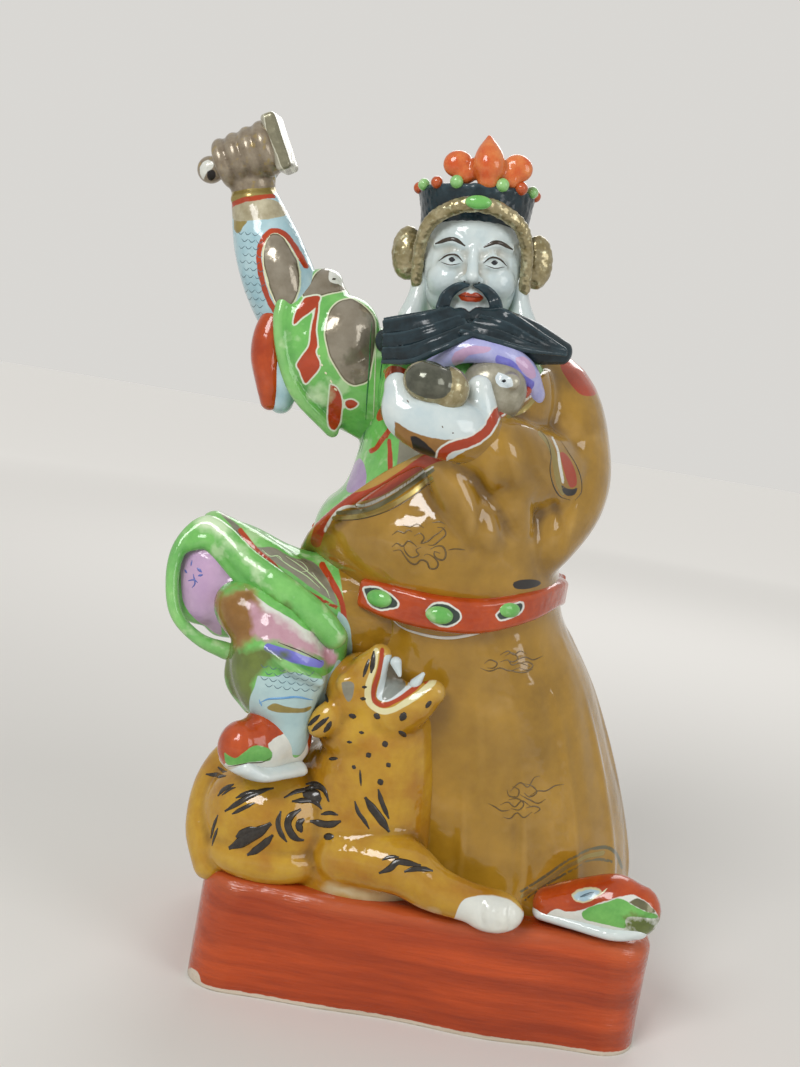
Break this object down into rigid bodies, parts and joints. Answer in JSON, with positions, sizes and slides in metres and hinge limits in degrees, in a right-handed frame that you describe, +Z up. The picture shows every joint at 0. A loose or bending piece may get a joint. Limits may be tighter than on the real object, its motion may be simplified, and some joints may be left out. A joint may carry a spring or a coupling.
{
  "type": "god of wealth figurine",
  "caption": "Glazed porcelain god of wealth with raised fist and ingot, one foot on a crouching tiger, on a rounded plinth; stands on a shelf as an ornament.",
  "frame": {"origin": "centre of the plinth's flat underside", "axes": "+Z up, -Y towards the viewer (the face and the plinth's front), +X to the viewer's right"},
  "size_m": [0.1264, 0.0777, 0.1901],
  "materials": {
    "glazed_porcelain": "high-gloss overglaze enamels on white porcelain"
  },
  "bodies": {
    "root": {"figurine": "glazed_porcelain"}
  },
  "joints": []
}
